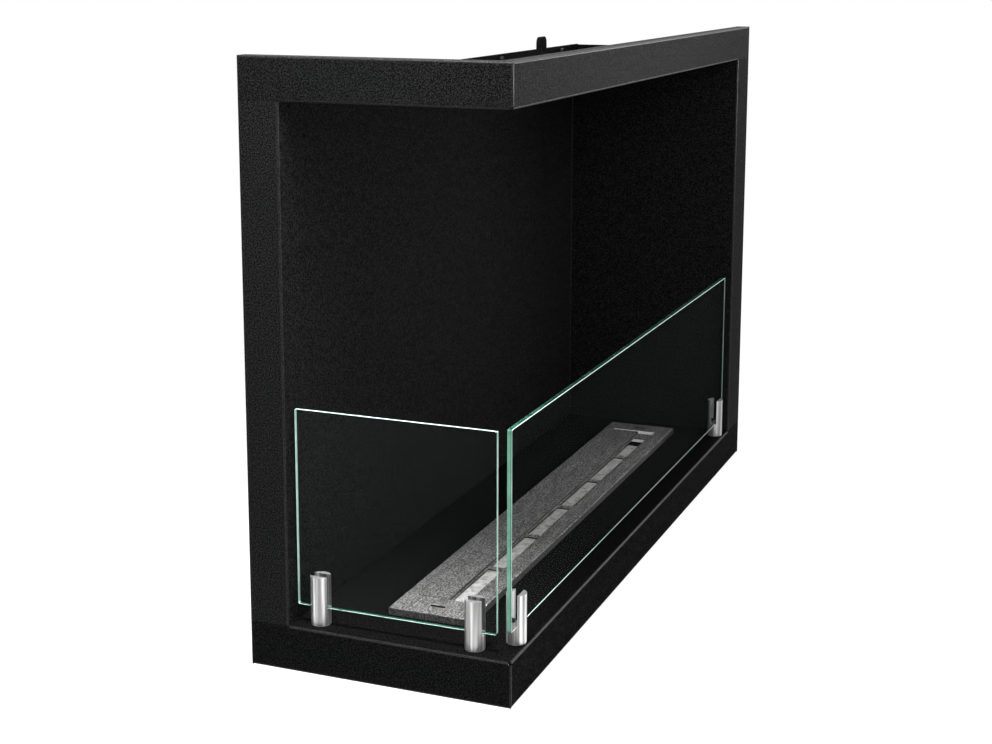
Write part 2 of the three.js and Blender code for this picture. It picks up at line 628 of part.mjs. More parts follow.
// Each pane rests on the bottoms of two slots and is pushed against their outer walls.
const GLASS_INWARD = -POST_SLOT / 2 + GAP + GLASS_THICKNESS / 2;
const GLASS_MIDDLE = FLOOR_TOP + GLASS_LIFT + GLASS_HEIGHT / 2;
place(fireplace, 'front_glass', glassPane(FRONT_GLASS.end - FRONT_GLASS.start), clearGlass, {
  at: [(FRONT_GLASS.start + FRONT_GLASS.end) / 2, FRONT + POST_FROM_FRONT + GLASS_INWARD, GLASS_MIDDLE],
});
place(fireplace, 'side_glass', glassPane(SIDE_GLASS.end - SIDE_GLASS.start), clearGlass, {
  at: [LEFT + POST_FROM_LEFT + GLASS_INWARD, (SIDE_GLASS.start + SIDE_GLASS.end) / 2, GLASS_MIDDLE],
  turn: [0, 0, -Math.PI / 2],
});

const burner = new THREE.Group();
burner.position.set(BURNER_X, BURNER_Y, FLOOR_TOP);
fireplace.add(burner);
place(burner, 'burner_cover', burnerCover(), burnerSteel);
place(burner, 'burner_tank', burnerTank(), burnerSteel);
place(burner, 'wick_tray', wickTray(), burnerSteel);
place(burner, 'fibre_wick', fibreWick(), fibre);
place(burner, 'burner_shutter', burnerShutter(), burnerSteel);

export default fireplace;
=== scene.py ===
"""Looks for a bioethanol fireplace: powder-coated casing, glass on steel posts, slot burner."""

import math

import bmesh
import bpy
from mathutils import Matrix, Vector, noise


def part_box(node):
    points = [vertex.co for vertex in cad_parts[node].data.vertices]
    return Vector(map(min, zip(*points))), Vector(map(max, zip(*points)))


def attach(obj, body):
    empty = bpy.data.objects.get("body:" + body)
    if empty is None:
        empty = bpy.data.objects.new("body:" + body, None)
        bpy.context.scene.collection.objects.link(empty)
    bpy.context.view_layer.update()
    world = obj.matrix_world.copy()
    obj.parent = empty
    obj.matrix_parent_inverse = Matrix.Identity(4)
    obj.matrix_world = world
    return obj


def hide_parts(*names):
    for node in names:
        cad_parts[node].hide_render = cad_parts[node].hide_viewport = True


MM = 0.001
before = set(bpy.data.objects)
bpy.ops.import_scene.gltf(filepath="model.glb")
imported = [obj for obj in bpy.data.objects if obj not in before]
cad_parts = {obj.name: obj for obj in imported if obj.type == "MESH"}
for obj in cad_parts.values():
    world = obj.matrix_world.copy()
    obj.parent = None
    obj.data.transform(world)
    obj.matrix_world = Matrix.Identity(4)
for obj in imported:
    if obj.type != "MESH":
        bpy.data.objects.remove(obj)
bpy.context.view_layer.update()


# --- Camera: at the photo's viewing angle, in a frame of 992 x 744
CAMERA_YAW, CAMERA_PITCH, CAMERA_ROLL = (math.radians(a) for a in (21.7121, 10.2929, 0.1028))
CAMERA_PLACE = (-1.80189, -0.66130, 0.68965)
CAMERA_LENS, CAMERA_SHIFT = 59.85, -0.11


def add_camera():
    yaw, pitch, roll = CAMERA_YAW, CAMERA_PITCH, CAMERA_ROLL
    level = math.cos(pitch)
    forward = Vector((math.cos(yaw) * level, math.sin(yaw) * level, -math.sin(pitch)))
    right = Vector((math.sin(yaw), -math.cos(yaw), 0))
    up = right.cross(forward)
    right, up = (
        right * math.cos(roll) + up * math.sin(roll),
        up * math.cos(roll) - right * math.sin(roll),
    )
    data = bpy.data.cameras.new("camera")
    data.sensor_fit = "HORIZONTAL"
    data.sensor_width = 36
    data.lens = CAMERA_LENS
    data.shift_y = CAMERA_SHIFT
    camera = bpy.data.objects.new("camera", data)
    turned = Matrix((right, up, -forward)).transposed().to_4x4()
    camera.matrix_world = Matrix.Translation(CAMERA_PLACE) @ turned
    bpy.context.scene.collection.objects.link(camera)
    bpy.context.scene.camera = camera


# --- Node materials
class Shade:
    """A Principled material and short ways to add texture nodes to it."""

    def __init__(self, name, **values):
        self.material = bpy.data.materials.new(name)
        self.material.use_nodes = True
        self.tree = self.material.node_tree
        self.tree.nodes.clear()
        self.output = self.tree.nodes.new("ShaderNodeOutputMaterial")
        self.shader = self.tree.nodes.new("ShaderNodeBsdfPrincipled")
        self.link(self.shader.outputs[0], self.output.inputs["Surface"])
        for socket, value in values.items():
            self.shader.inputs[socket.replace("_", " ")].default_value = value
        coordinates = self.tree.nodes.new("ShaderNodeTexCoord")
        self.place = coordinates.outputs["Object"]

    def link(self, a, b):
        self.tree.links.new(a, b)

    def node(self, kind, **settings):
        made = self.tree.nodes.new("ShaderNode" + kind)
        for name, value in settings.items():
            setattr(made, name, value)
        return made

    def stretched(self, x, y, z):
        mapping = self.node("Mapping")
        mapping.inputs["Scale"].default_value = (x, y, z)
        self.link(self.place, mapping.inputs["Vector"])
        return mapping.outputs[0]

    def noise(self, scale, detail=2.0, roughness=0.5, where=None):
        made = self.node("TexNoise")
        made.inputs["Scale"].default_value = scale
        made.inputs["Detail"].default_value = detail
        made.inputs["Roughness"].default_value = roughness
        self.link(where or self.place, made.inputs["Vector"])
        return made.outputs[0]

    def spots(self, scale):
        made = self.node("TexVoronoi")
        made.inputs["Scale"].default_value = scale
        self.link(self.place, made.inputs["Vector"])
        return made.outputs["Distance"]

    def ramp(self, value, stops):
        made = self.node("ValToRGB")
        ramp = made.color_ramp
        while len(ramp.elements) < len(stops):
            ramp.elements.new(0.5)
        for element, (position, colour) in zip(ramp.elements, stops):
            element.position = position
            if not isinstance(colour, tuple):
                colour = (colour, colour, colour)
            element.color = (*colour, 1)
        self.link(value, made.inputs[0])
        return made.outputs[0]

    def mix(self, factor, a, b, blend="MIX"):
        made = self.node("Mix", data_type="RGBA", blend_type=blend)
        sockets = [s for s in made.inputs if s.enabled]
        for socket, value in zip(sockets, (factor, a, b)):
            if isinstance(value, (int, float)):
                socket.default_value = value
            elif isinstance(value, tuple):
                socket.default_value = (*value, 1)
            else:
                self.link(value, socket)
        return [s for s in made.outputs if s.enabled][0]

    def bump(self, height, strength, distance, under=None):
        made = self.node("Bump")
        made.inputs["Strength"].default_value = strength
        made.inputs["Distance"].default_value = distance
        self.link(height, made.inputs["Height"])
        if under:
            self.link(under, made.inputs["Normal"])
        return made.outputs[0]

    def set(self, socket, value):
        self.link(value, self.shader.inputs[socket])


def powder_coat(name, level, rough, relief, tone=1.0, along_x=1.0):
    """Near-black fine-texture powder coat: a grain of 1 to 2 mm over a slight orange peel. tone
    scales its greys, and along_x below 1 draws the grain out along X, for the panels whose long
    bars are seen almost edge-on. Copies with a lower tone and another gloss level paint light and
    shade onto whole panels. On the folds, where the coat is thin, the relief is less and the
    gloss is more."""
    s = Shade(name, Specular_IOR_Level=level)
    run = s.stretched(along_x, 1, 1)
    grain = s.noise(680, 3, 0.6, run)
    peel = s.noise(260, 2, 0.5)
    patches = s.noise(9, 3, 0.5)
    flecks = s.ramp(s.noise(740, 3, 0.6, run), [(0.44, 0.0), (0.60, 1.0)])
    shade = lambda grey: (grey * tone, grey * tone, grey * tone * 1.02)
    speckled = s.mix(flecks, s.mix(patches, shade(0.0022), shade(0.0034)), shade(0.0200))
    s.set("Base Color", speckled)
    s.set("Roughness", s.ramp(grain, [(0.3, rough[0]), (0.72, rough[1])]))
    coarse = s.bump(peel, 0.2 * relief, 0.3 * MM)
    s.set("Normal", s.bump(grain, relief, 0.6 * MM, coarse))
    return s.material


def brushed_post(name, shade):
    """Stainless bar with the fine streaks of a lengthwise brush and broad light and dark bands that
    are a painted reflection, its greys scaled by shade, which darkens the slot walls as painted
    shade.
    """
    s = Shade(name, Metallic=0.7)
    along = s.stretched(1, 1, 0.018)
    streaks = s.noise(800, 3, 0.65, along)
    # painted reflection: broad light and dark bands in the colour stand for the studio mirrored in
    # the bar
    painted_reflection_bands = s.noise(230, 2, 0.5, along)
    steel = lambda grey: (grey * shade, grey * shade * 0.995, grey * shade * 0.99)
    tone = s.ramp(painted_reflection_bands, [(0.38, steel(0.27)), (0.50, steel(0.50)), (0.60, steel(0.90))])
    fine = s.ramp(streaks, [(0.32, 0.72), (0.66, 1.0)])
    s.set("Base Color", s.mix(0.85, tone, fine, "MULTIPLY"))
    s.set("Roughness", s.ramp(streaks, [(0.3, 0.42), (0.75, 0.26)]))
    return s.material


def painted_highlight_metal(name, metal):
    """Near-white metal that is a painted highlight: on the chamfers of the posts, and on the ends
    of the burner's recess and its filler tab.
    """
    s = Shade(name, Metallic=metal)
    turned = s.noise(900, 3, 0.6)
    s.set("Base Color", s.ramp(turned, [(0.3, 0.80), (0.6, 1.0)]))
    s.set("Roughness", s.ramp(turned, [(0.3, 0.20), (0.7, 0.34)]))
    return s.material


def post_top():
    """The sawn and brushed ends of the posts."""
    s = Shade("post_top", Metallic=0.6)
    scratches = s.noise(900, 4, 0.7, s.stretched(0.3, 1, 1))
    s.set("Base Color", s.ramp(scratches, [(0.3, 0.22), (0.7, 0.46)]))
    s.set("Roughness", s.ramp(scratches, [(0.3, 0.35), (0.7, 0.55)]))
    s.set("Normal", s.bump(scratches, 0.3, 0.2 * MM))
    return s.material


def burner_steel(name, low, high, rough, metal):
    """Satin stainless sheet, ground along the burner, with a strong grain and slow patches between
    the greys low and high."""
    s = Shade(name, Metallic=metal)
    ground = s.noise(470, 3, 0.65, s.stretched(0.07, 1, 1))
    grain = s.noise(700, 3, 0.7, s.stretched(0.40, 1, 1))
    tint = s.noise(14, 3, 0.55)
    tone = s.mix(tint, (low, low * 0.99, low * 0.98), (high, high * 0.99, high * 0.98))
    strokes = s.ramp(ground, [(0.36, 0.55), (0.64, 1.0)])
    sparkle = s.ramp(grain, [(0.44, 0.20), (0.57, 1.0)])
    s.set("Base Color", s.mix(1.0, s.mix(1.0, tone, sparkle, "MULTIPLY"), strokes, "MULTIPLY"))
    s.set("Roughness", s.ramp(ground, [(0.3, rough), (0.7, rough + 0.2)]))
    fine = s.bump(grain, 0.7, 0.7 * MM)
    s.set("Normal", s.bump(ground, 0.6, 0.4 * MM, fine))
    return s.material


def ceramic_fibre():
    """White ceramic wool, mottled grey where it has been lit."""
    s = Shade("ceramic_fibre", Roughness=0.95, Specular_IOR_Level=0.15)
    fleece = s.noise(700, 5, 0.7)
    clumps = s.noise(120, 4, 0.6)
    lit, mottled, clean = (0.26, 0.26, 0.25), (0.48, 0.48, 0.47), (0.60, 0.60, 0.59)
    tone = s.ramp(clumps, [(0.32, lit), (0.50, mottled), (0.66, clean)])
    hairs = s.ramp(fleece, [(0.30, 0.62), (0.62, 1.0)])
    s.set("Base Color", s.mix(1.0, tone, hairs, "MULTIPLY"))
    lumps = s.bump(clumps, 0.6, 1.2 * MM)
    s.set("Normal", s.bump(fleece, 0.8, 0.6 * MM, lumps))
    return s.material


def zinc():
    """Zinc-plated steel with the spangle and handling marks of small hardware."""
    s = Shade("zinc", Metallic=1.0)
    spangle = s.spots(450)
    marks = s.noise(700, 4, 0.6)
    tone = s.ramp(spangle, [(0.0, (0.50, 0.51, 0.53)), (0.6, (0.66, 0.67, 0.68))])
    s.set("Base Color", s.mix(0.5, tone, s.ramp(marks, [(0.3, 0.6), (0.7, 1.0)]), "MULTIPLY"))
    s.set("Roughness", s.ramp(marks, [(0.3, 0.25), (0.75, 0.48)]))
    s.set("Normal", s.bump(marks, 0.2, 0.15 * MM))
    return s.material


def black_bolt():
    """Blackened steel, worn a little lighter on its grain."""
    s = Shade("black_bolt", Metallic=1.0)
    wear = s.noise(900, 4, 0.65)
    s.set("Base Color", s.ramp(wear, [(0.35, 0.015), (0.70, 0.10)]))
    s.set("Roughness", s.ramp(wear, [(0.3, 0.28), (0.7, 0.45)]))
    s.set("Normal", s.bump(wear, 0.3, 0.15 * MM))
    return s.material


def clear_glass():
    """Thin clear float glass: nearly all alpha, with faint wiping marks."""
    s = Shade("clear_glass", IOR=1.5, Alpha=0.006)
    s.material.surface_render_method = "BLENDED"
    wiped = s.noise(14, 3, 0.6, s.stretched(1, 1, 3))
    s.set("Base Color", s.mix(wiped, (0.10, 0.15, 0.13), (0.18, 0.25, 0.22)))
    s.set("Roughness", s.ramp(wiped, [(0.35, 0.03), (0.75, 0.10)]))
    return s.material


def glass_edge(name, light, deep, level):
    """Ground and polished edge of float glass, where its green shows in streaks along the edge.
    Its lighter and darker copies are painted light and shade, set edge by edge.
    """
    s = Shade(name, Roughness=0.25, Specular_IOR_Level=level)
    cloud = s.noise(40, 4, 0.65)
    s.set("Base Color", s.mix(s.ramp(cloud, [(0.35, 0.0), (0.65, 1.0)]), light, deep))
    s.set("Normal", s.bump(s.noise(600, 2, 0.5), 0.08, 0.2 * MM))
    return s.material


# --- Mesh helpers, in millimetres
BEVELLED = math.radians(50)


def finish_piece(name, bm, materials, body, replaced=(), smooth=32, matrix=None, bevel=None):
    """Turns the bmesh into a piece that rides on a body and stands for the named CAD nodes. bevel
    is (width, segments, share), where share gives an edge's part of the width from its middle."""
    if bevel:
        bm.normal_update()
        weight = bm.edges.layers.float.new("bevel_weight_edge")
        for edge in bm.edges:
            if edge.calc_face_angle(0) > BEVELLED:
                edge[weight] = bevel[2]((edge.verts[0].co + edge.verts[1].co) / 2)
    bmesh.ops.scale(bm, vec=(MM, MM, MM), verts=bm.verts)
    if matrix:
        bmesh.ops.transform(bm, matrix=matrix, verts=bm.verts)
    bmesh.ops.recalc_face_normals(bm, faces=bm.faces)
    mesh = bpy.data.meshes.new(name)
    bm.to_mesh(mesh)
    bm.free()
    for material in materials:
        mesh.materials.append(material)
    piece = bpy.data.objects.new(name, mesh)
    bpy.context.scene.collection.objects.link(piece)
    if bevel:
        modifier = piece.modifiers.new("edges", "BEVEL")
        modifier.width = bevel[0] * MM
        modifier.segments = bevel[1]
        modifier.limit_method = "WEIGHT"
        apply_modifiers(piece)
    smooth_shading(piece, smooth)
    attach(piece, body)
    if replaced:
        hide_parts(*replaced)
    return piece


def smooth_shading(piece, angle):
    """Smooth across edges below the angle, with the wide flat faces kept flat."""
    for polygon in piece.data.polygons:
        polygon.use_smooth = True
    piece.data.set_sharp_from_angle(angle=math.radians(angle))
    if "normals" not in piece.modifiers:
        modifier = piece.modifiers.new("normals", "WEIGHTED_NORMAL")
        modifier.keep_sharp = True


def apply_modifiers(piece):
    shaped = piece.evaluated_get(bpy.context.evaluated_depsgraph_get())
    mesh = bpy.data.meshes.new_from_object(shaped)
    piece.modifiers.clear()
    piece.data = mesh


def evenly(middle):
    return 1.0


def at(x, y, z, turn=(0, 0, 0)):
    rotation = Matrix.Identity(4)
    for angle, axis in zip(turn, "XYZ"):
        rotation = Matrix.Rotation(math.radians(angle), 4, axis) @ rotation
    return Matrix.Translation((x * MM, y * MM, z * MM)) @ rotation


def lattice(bm, filled, xs, ys, zs):
    """Closed skin of the cells of a box grid whose middles make filled(x, y, z) true."""
    xs, ys, zs = (sorted(set(round(v, 4) for v in line)) for line in (xs, ys, zs))
    middle = lambda line, i: (line[i] + line[i + 1]) / 2
    inside = {
        (i, j, k)
        for i in range(len(xs) - 1)
        for j in range(len(ys) - 1)
        for k in range(len(zs) - 1)
        if filled(middle(xs, i), middle(ys, j), middle(zs, k))
    }
    made = {}

    def vert(i, j, k):
        if (i, j, k) not in made:
            made[i, j, k] = bm.verts.new((xs[i], ys[j], zs[k]))
        return made[i, j, k]

    sides = {
        (-1, 0, 0): [(0, 0, 0), (0, 0, 1), (0, 1, 1), (0, 1, 0)],
        (1, 0, 0): [(1, 0, 0), (1, 1, 0), (1, 1, 1), (1, 0, 1)],
        (0, -1, 0): [(0, 0, 0), (1, 0, 0), (1, 0, 1), (0, 0, 1)],
        (0, 1, 0): [(0, 1, 0), (0, 1, 1), (1, 1, 1), (1, 1, 0)],
        (0, 0, -1): [(0, 0, 0), (0, 1, 0), (1, 1, 0), (1, 0, 0)],
        (0, 0, 1): [(0, 0, 1), (1, 0, 1), (1, 1, 1), (0, 1, 1)],
    }
    for i, j, k in sorted(inside):
        for (di, dj, dk), corners in sides.items():
            if (i + di, j + dj, k + dk) not in inside:
                bm.faces.new([vert(i + a, j + b, k + c) for a, b, c in corners])


STEPS = 48


def ring(kind, size, z):
    """One closed ring of STEPS points: a circle of that diameter, or a hexagon of that width
    across its flats. z may be a function of the radius."""
    points = []
    for step in range(STEPS):
        angle = 2 * math.pi * step / STEPS
        radius = size / 2
        if kind == "hex":
            radius /= math.cos((angle + math.pi / 6) % (math.pi / 3) - math.pi / 6)
        height = z(radius) if callable(z) else z
        points.append((radius * math.cos(angle), radius * math.sin(angle), height))
    return points


def loft(bm, rings, closed=False):
    """Skins rings of equal count in order, and caps both ends unless closed on itself."""
    loops = [[bm.verts.new(p) for p in points] for points in rings]
    pairs = list(zip(loops, loops[1:]))
    if closed:
        pairs.append((loops[-1], loops[0]))
    for a, b in pairs:
        for i in range(len(a)):
            j = (i + 1) % len(a)
            bm.faces.new((a[i], a[j], b[j], b[i]))
    if not closed:
        bm.faces.new(loops[0])
        bm.faces.new(loops[-1])


# --- Casing: the folded panels, with their cut edges and corner seams worked up
FRONT, LEFT, RIGHT, REAR = -138.5, -450.0, 450.0, 138.5
FLOOR_TOP, CEILING_FACE, BACK_FACE, END_FACE = 46.0, 562.6, 96.5, 390.0
CASING_SHEET, CASING_GAP = 1.5, 0.3
SEAM_ROUNDING = 1.2
FLAT = 0.995  # a face whose normal has no component above this is part of a fold


def casing_panel(node, materials, seam_edges=(), closed=()):
    """A panel's own folds, with its flat faces made whole, the edges beside a corner seam rounded,
    and its welded ends, given as (axis, from, to), drawn up to the piece that they meet."""
    bm = bmesh.new()
    bm.from_mesh(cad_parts[node].data)
    bmesh.ops.remove_doubles(bm, verts=bm.verts, dist=1e-5)
    bmesh.ops.dissolve_limit(bm, angle_limit=math.radians(1), verts=bm.verts, edges=bm.edges)
    bmesh.ops.scale(bm, vec=(1000, 1000, 1000), verts=bm.verts)

    for axis, old, new in closed:
        for vert in bm.verts:
            if abs(vert.co[axis] - old) < 0.02:
                vert.co[axis] = new

    def along_seam(edge):
        middle = (edge.verts[0].co + edge.verts[1].co) / 2
        run = edge.verts[1].co - edge.verts[0].co
        return run.length > 20 and any(
            abs(middle.x - x) < 0.05 and abs(middle.y - y) < 0.05 for x, y in seam_edges
        )

    rounded = [e for e in bm.edges if len(e.link_faces) == 2 and along_seam(e)]
    if rounded:
        bmesh.ops.bevel(
            bm, geom=rounded, offset=SEAM_ROUNDING, segments=4, profile=0.5, affect="EDGES"
        )
    bm.normal_update()
    for face in bm.faces:
        face.material_index = 0 if max(abs(v) for v in face.normal) > FLAT else 1
    finish_piece(f"{node}_coated", bm, materials, "casing", (node,), 40)


def corner_bead(material):
    """A slim bead of sealant up the corner where the back and end panels meet."""
    bm = bmesh.new()
    for z, size in ((46.2, 0.5), (47.0, 1.0), (561.6, 1.0), (562.4, 0.5)):
        arc = [(END_FACE - size * math.cos(a), BACK_FACE - size * math.sin(a), z)
               for a in (math.radians(15 * i) for i in range(7))]
        loop = [bm.verts.new(p) for p in ((END_FACE, BACK_FACE, z), *arc)]
        if len(bm.verts) > len(loop):
            for i in range(len(loop)):
                j = (i + 1) % len(loop)
                bm.faces.new((last[i], last[j], loop[j], loop[i]))
        else:
            bm.faces.new(loop)
        last = loop
    bm.faces.new(last)
    finish_piece("corner_bead", bm, [material], "casing", (), 50)


def relief_weld(name, low, high, material):
    """The weld that closes the notch where the folds of the front and the side meet."""
    bm = bmesh.new()
    middle = (low + high) / 2
    half = (high - low) / 2
    rings = []
    for step in range(1, 8):
        angle = math.pi * step / 8 - math.pi / 2
        size = 2.5 * math.cos(angle) ** 0.5
        rings.append([(x * (1 + 0.06 * math.sin(5 * x + 3 * y)), y, middle + half * math.sin(angle))
                      for x, y, _ in ring("round", size, 0)])
    loft(bm, rings)
    place = at(LEFT + 1.55, FRONT + 1.55, 0)
    finish_piece(name, bm, [material], "casing", (), 60, place)


KEYHOLE_SLOT, KEYHOLE_HEAD = (3.0, 587.9), (6.0, 573.9)  # radius and height of each end
KEYHOLES_X = (-270.5, 264.5)


def keyhole_collar(name, x, material):
    """The turned edge of a hanger's keyhole, behind the panel."""
    def outline(grow, y):
        slot, head = KEYHOLE_SLOT[0] + grow, KEYHOLE_HEAD[0] + grow
        start = math.degrees(math.acos(-slot / head))
        points = [(x + slot * math.cos(a), y, KEYHOLE_SLOT[1] + slot * math.sin(a))
                  for a in (math.radians(180 * i / 12) for i in range(13))]
        points += [(x + head * math.cos(a), y, KEYHOLE_HEAD[1] + head * math.sin(a))
                   for a in (math.radians(start + (540 - 2 * start) * i / 30) for i in range(31))]
        return points

    bm = bmesh.new()
    rows = [(0.0, 97.9), (1.0, 97.9), (1.0, 99.3), (0.75, 99.6), (0.25, 99.6), (0.0, 99.3)]
    loft(bm, [outline(*row) for row in rows], closed=True)
    finish_piece(name, bm, [material], "casing", (), 40)


# --- Posts
POST, POST_HEIGHT, SLOT = 20.0, 50.4, 8.5
SLOT_FLOOR, POST_FOOT = 18.0, 0.9
FRONT_POSTS_X, FRONT_POSTS_Y = (-401.5, 365.0), -125.5
SIDE_POSTS_X, SIDE_POSTS_Y = -431.0, (-94.5, 70.0)


def post(name, matrix, materials):
    """A round bar with a sawn slot along X. materials are those of the bar, of its sawn ends, of
    its rims, which carry a painted highlight, and of the slot's walls."""
    radius = POST / 2
    corner = math.asin(SLOT / 2 / radius)
    arc = 26
    right = [math.pi / 2 + (math.pi - 2 * corner) * (i / arc - 0.5) for i in range(arc + 1)]
    left = [a + math.pi for a in right]
    gap = [math.pi - corner + 2 * corner * i / 6 for i in range(1, 6)]
    skip = len(gap)
    around = right + gap + left + [a + math.pi for a in gap]
    bm = bmesh.new()

    def circle(z, inset=0.0):
        size = radius - inset
        return [bm.verts.new((size * math.cos(a), size * math.sin(a), z)) for a in around]

    rings = [circle(0.3, 0.5), circle(0.5, 0.15), circle(POST_FOOT)]
    rings += [circle(SLOT_FLOOR / 2), circle(SLOT_FLOOR)]
    for a, b in zip(rings, rings[1:]):
        for i in range(len(a)):
            j = (i + 1) % len(a)
            bm.faces.new((a[i], a[j], b[j], b[i]))
    bm.faces.new(list(reversed(rings[0])))
    top = rings[-1]
    count = arc + 1
    columns = [top[:count], top[count + skip : 2 * count + skip]]
    for low in columns:
        high = [bm.verts.new((v.co.x, v.co.y, POST_HEIGHT)) for v in low]
        for i in range(count - 1):
            bm.faces.new((low[i], low[i + 1], high[i + 1], high[i]))
        bm.faces.new((low[-1], low[0], high[0], high[-1])).material_index = 3
        bm.faces.new(high).material_index = 1
    floor = [columns[0][0], *reversed(top[2 * count + skip :]), columns[1][-1], columns[1][0]]
    floor += [*reversed(top[count : count + skip]), columns[0][-1]]
    bm.faces.new(floor).material_index = 1
    for face in bm.faces:
        if face.calc_center_median().z < POST_FOOT + 0.05 and len(face.verts) == 4:
            face.material_index = 2
    stands_for = (f"{name}_post",)
    return finish_piece(
        f"{name}_bar", bm, materials, "casing", stands_for, 30, matrix
    )


def drill(piece, matrix, diameter, start, end, z):
    """Cuts a round hole along the piece's own +Y, and bevels the edges of the post, in the rim
    material that carries a painted highlight.
    """
    bm = bmesh.new()
    loft(bm, [[(x, y, h) for x, y, h in ring("round", diameter, h)] for h in (start, end)])
    quarter = Matrix.Rotation(-math.pi / 2, 3, "X")
    bmesh.ops.rotate(bm, cent=(0, 0, 0), matrix=quarter, verts=bm.verts)
    bmesh.ops.translate(bm, vec=(0, 0, z), verts=bm.verts)
    bmesh.ops.scale(bm, vec=(MM, MM, MM), verts=bm.verts)
    bmesh.ops.transform(bm, matrix=matrix, verts=bm.verts)
    bmesh.ops.recalc_face_normals(bm, faces=bm.faces)
    mesh = bpy.data.meshes.new("drill")
    bm.to_mesh(mesh)
    bm.free()
    tool = bpy.data.objects.new("drill", mesh)
    bpy.context.scene.collection.objects.link(tool)
    modifier = piece.modifiers.new("hole", "BOOLEAN")
    modifier.object = tool
    modifier.operation = "DIFFERENCE"
    modifier.solver = "EXACT"
    edges = piece.modifiers.new("edges", "BEVEL")
    edges.width = 0.5 * MM
    edges.segments = 2
    edges.material = 2
    edges.limit_method = "ANGLE"
    edges.angle_limit = math.radians(40)
    apply_modifiers(piece)
    bpy.data.objects.remove(tool)
    smooth_shading(piece, 30)


# --- Hardware, each with its axis along +Z and the underside of its head at z = 0
def thread(top, bottom, diameter=6.0, pitch=1.0, depth=0.5):
    """Ridges of a thread from z = top to z = bottom, as rings."""
    rings = []
    turns = max(1, int(abs(bottom - top) / pitch))
    step = (bottom - top) / turns
    for i in range(turns):
        z = top + i * step
        rings.append(ring("round", diameter - 2 * depth, z + 0.08 * step))
        rings.append(ring("round", diameter, z + 0.45 * step))
        rings.append(ring("round", diameter, z + 0.60 * step))
    rings.append(ring("round", diameter - 2 * depth, bottom))
    return rings


def hex_bolt(name, node, material, matrix):
    bm = bmesh.new()
    chamfer = lambda r: -4.0 + max(0.0, (r - 4.75) * 0.58)
    rings = [
        ring("round", 8.6, -3.75), ring("round", 9.0, -4.0), ring("round", 9.5, -4.0),
        ring("hex", 10.0, chamfer), ring("hex", 10.0, -0.3), ring("round", 9.6, -0.3),
        ring("round", 9.4, 0.0), ring("round", 6.0, 0.0), ring("round", 6.0, 2.2),
        *thread(2.3, 11.4), ring("round", 4.4, 12.0),
    ]
    loft(bm, rings)
    return finish_piece(name, bm, [material], "casing", (node,), 28, matrix)


def hex_nut(name, node, material, matrix):
    bm = bmesh.new()
    low = lambda r: max(0.0, (r - 4.75) * 0.58)
    high = lambda r: 5.0 - max(0.0, (r - 4.75) * 0.58)
    rings = [
        ring("round", 7.2, 0.0), ring("round", 9.5, 0.0),
        ring("hex", 10.0, low), ring("hex", 10.0, high),
        ring("round", 9.5, 5.0), ring("round", 7.2, 5.0),
        ring("round", 6.6, 4.7), ring("round", 6.6, 0.3),
    ]
    loft(bm, rings, closed=True)
    return finish_piece(name, bm, [material], "casing", (node,), 28, matrix)


def post_screw(name, node, material, matrix):
    bm = bmesh.new()
    rings = [
        ring("hex", 3.0, -1.65), ring("hex", 3.0, -3.05), ring("round", 4.4, -3.3),
        ring("round", 7.2, -3.15), ring("round", 9.2, -2.4), ring("round", 10.5, -1.2),
        ring("round", 11.0, -0.3), ring("round", 10.8, 0.0),
        ring("round", 6.0, 0.0), *thread(0.4, 14.0), ring("round", 4.6, 14.9),
    ]
    loft(bm, rings)
    return finish_piece(name, bm, [material], "casing", (node,), 28, matrix)


def washer(name, node, material, matrix):
    bm = bmesh.new()
    rings = [
        ring("round", 6.8, 0.0), ring("round", 13.6, 0.0),
        ring("round", 14.0, 0.25), ring("round", 14.0, 0.95),
        ring("round", 13.6, 1.2), ring("round", 6.9, 1.2),
        ring("round", 6.6, 1.0), ring("round", 6.6, 0.2),
    ]
    loft(bm, rings, closed=True)
    return finish_piece(name, bm, [material], "casing", (node,), 28, matrix)


def grub_screw(name, node, material, matrix, length):
    bm = bmesh.new()
    rings = [
        ring("round", 2.6, 0.0), ring("round", 3.6, 0.25),
        *thread(0.6, length - 0.5, 5.0, 0.8, 0.35),
        ring("round", 4.5, length - 0.1), ring("round", 4.0, length), ring("round", 3.1, length),
        ring("hex", 2.5, length - 0.25), ring("hex", 2.5, length / 2),
    ]
    loft(bm, rings)
    return finish_piece(name, bm, [material], "casing", (node,), 28, matrix)


# --- Glass
GLASS_HEIGHT, GLASS_THICKNESS = 200.0, 5.0
GLASS_CORNER, GLASS_ARRIS, GLASS_LIP = 2.0, 0.5, 1.4
GLASS_REST = 0.3  # from the floor and the wall of a post's slot
GLASS_PAST = 23.5  # length of a pane past the axis of each of its posts


